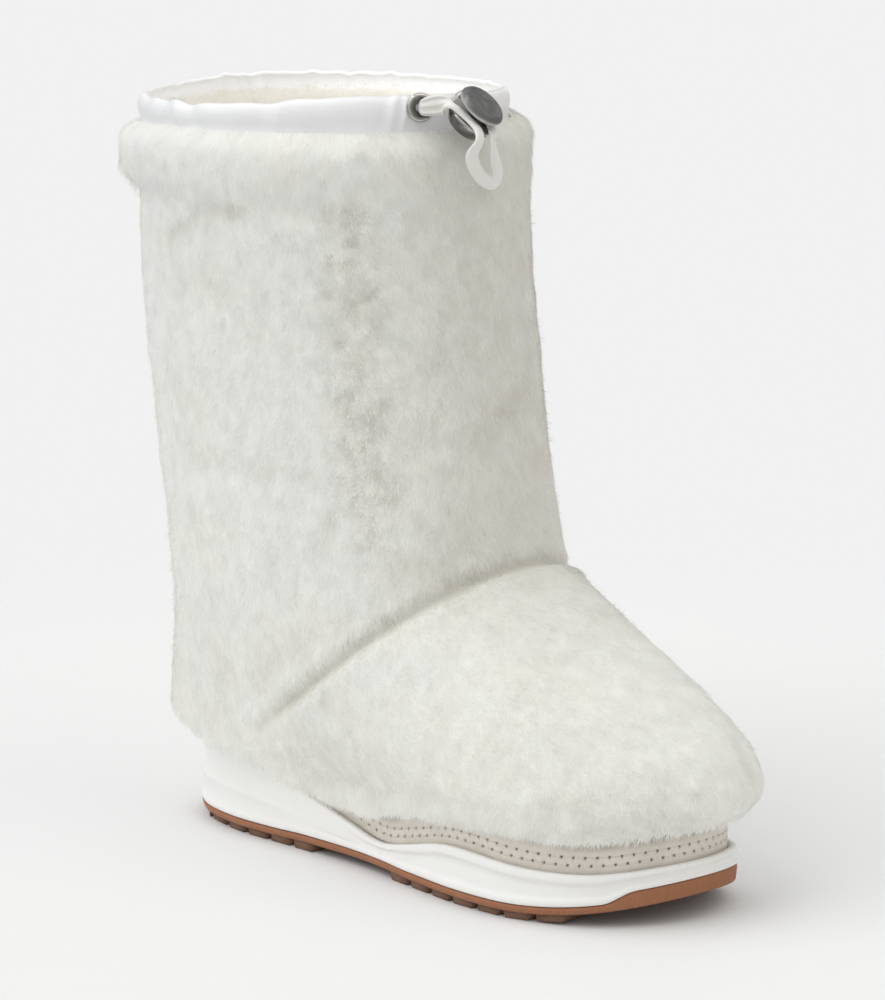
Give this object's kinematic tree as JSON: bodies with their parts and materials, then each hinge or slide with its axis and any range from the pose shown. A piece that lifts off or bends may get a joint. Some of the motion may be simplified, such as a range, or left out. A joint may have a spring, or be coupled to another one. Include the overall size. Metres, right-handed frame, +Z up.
{
  "type": "shearling snow boot",
  "caption": "Mid-calf shearling snow boot: hollow fur upper on a cupped foam midsole and lugged rubber outsole, with a gathered cloth collar, drawcord and sprung cord lock.",
  "frame": {"origin": "on the floor under the middle of the boot's box", "axes": "+X from heel to toe, +Y to the wearer's left, which is the medial side of this right boot, +Z up from the floor"},
  "size_m": [0.3282, 0.1536, 0.3378],
  "materials": {
    "outsole": "matte gum rubber",
    "midsole": "moulded white foam, satin skin",
    "rand": "pale stitched leather",
    "insole": "wool pile",
    "upper": "sheared ivory fur",
    "collar": "white satin nylon",
    "eyelet": "gunmetal, polished",
    "lock_body": "gunmetal, polished",
    "lock_button": "gunmetal, matte",
    "drawcord": "flat woven cord, cream"
  },
  "bodies": {
    "boot": {"outsole": "outsole", "midsole": "midsole", "rand": "rand", "insole": "insole", "upper": "upper", "collar": "collar", "eyelet_lateral": "eyelet", "eyelet_medial": "eyelet", "lock_body": "lock_body", "drawcord": "drawcord"},
    "lock_button": {"lock_button": "lock_button"}
  },
  "joints": [
    {"name": "button_press", "type": "slide", "parent": "boot", "child": "lock_button", "axis": [-0.6554, -0.1998, -0.7284], "range_m": [0, 0.0017], "stiffness_N_per_m": 600, "springref_m": -0.003}
  ]
}
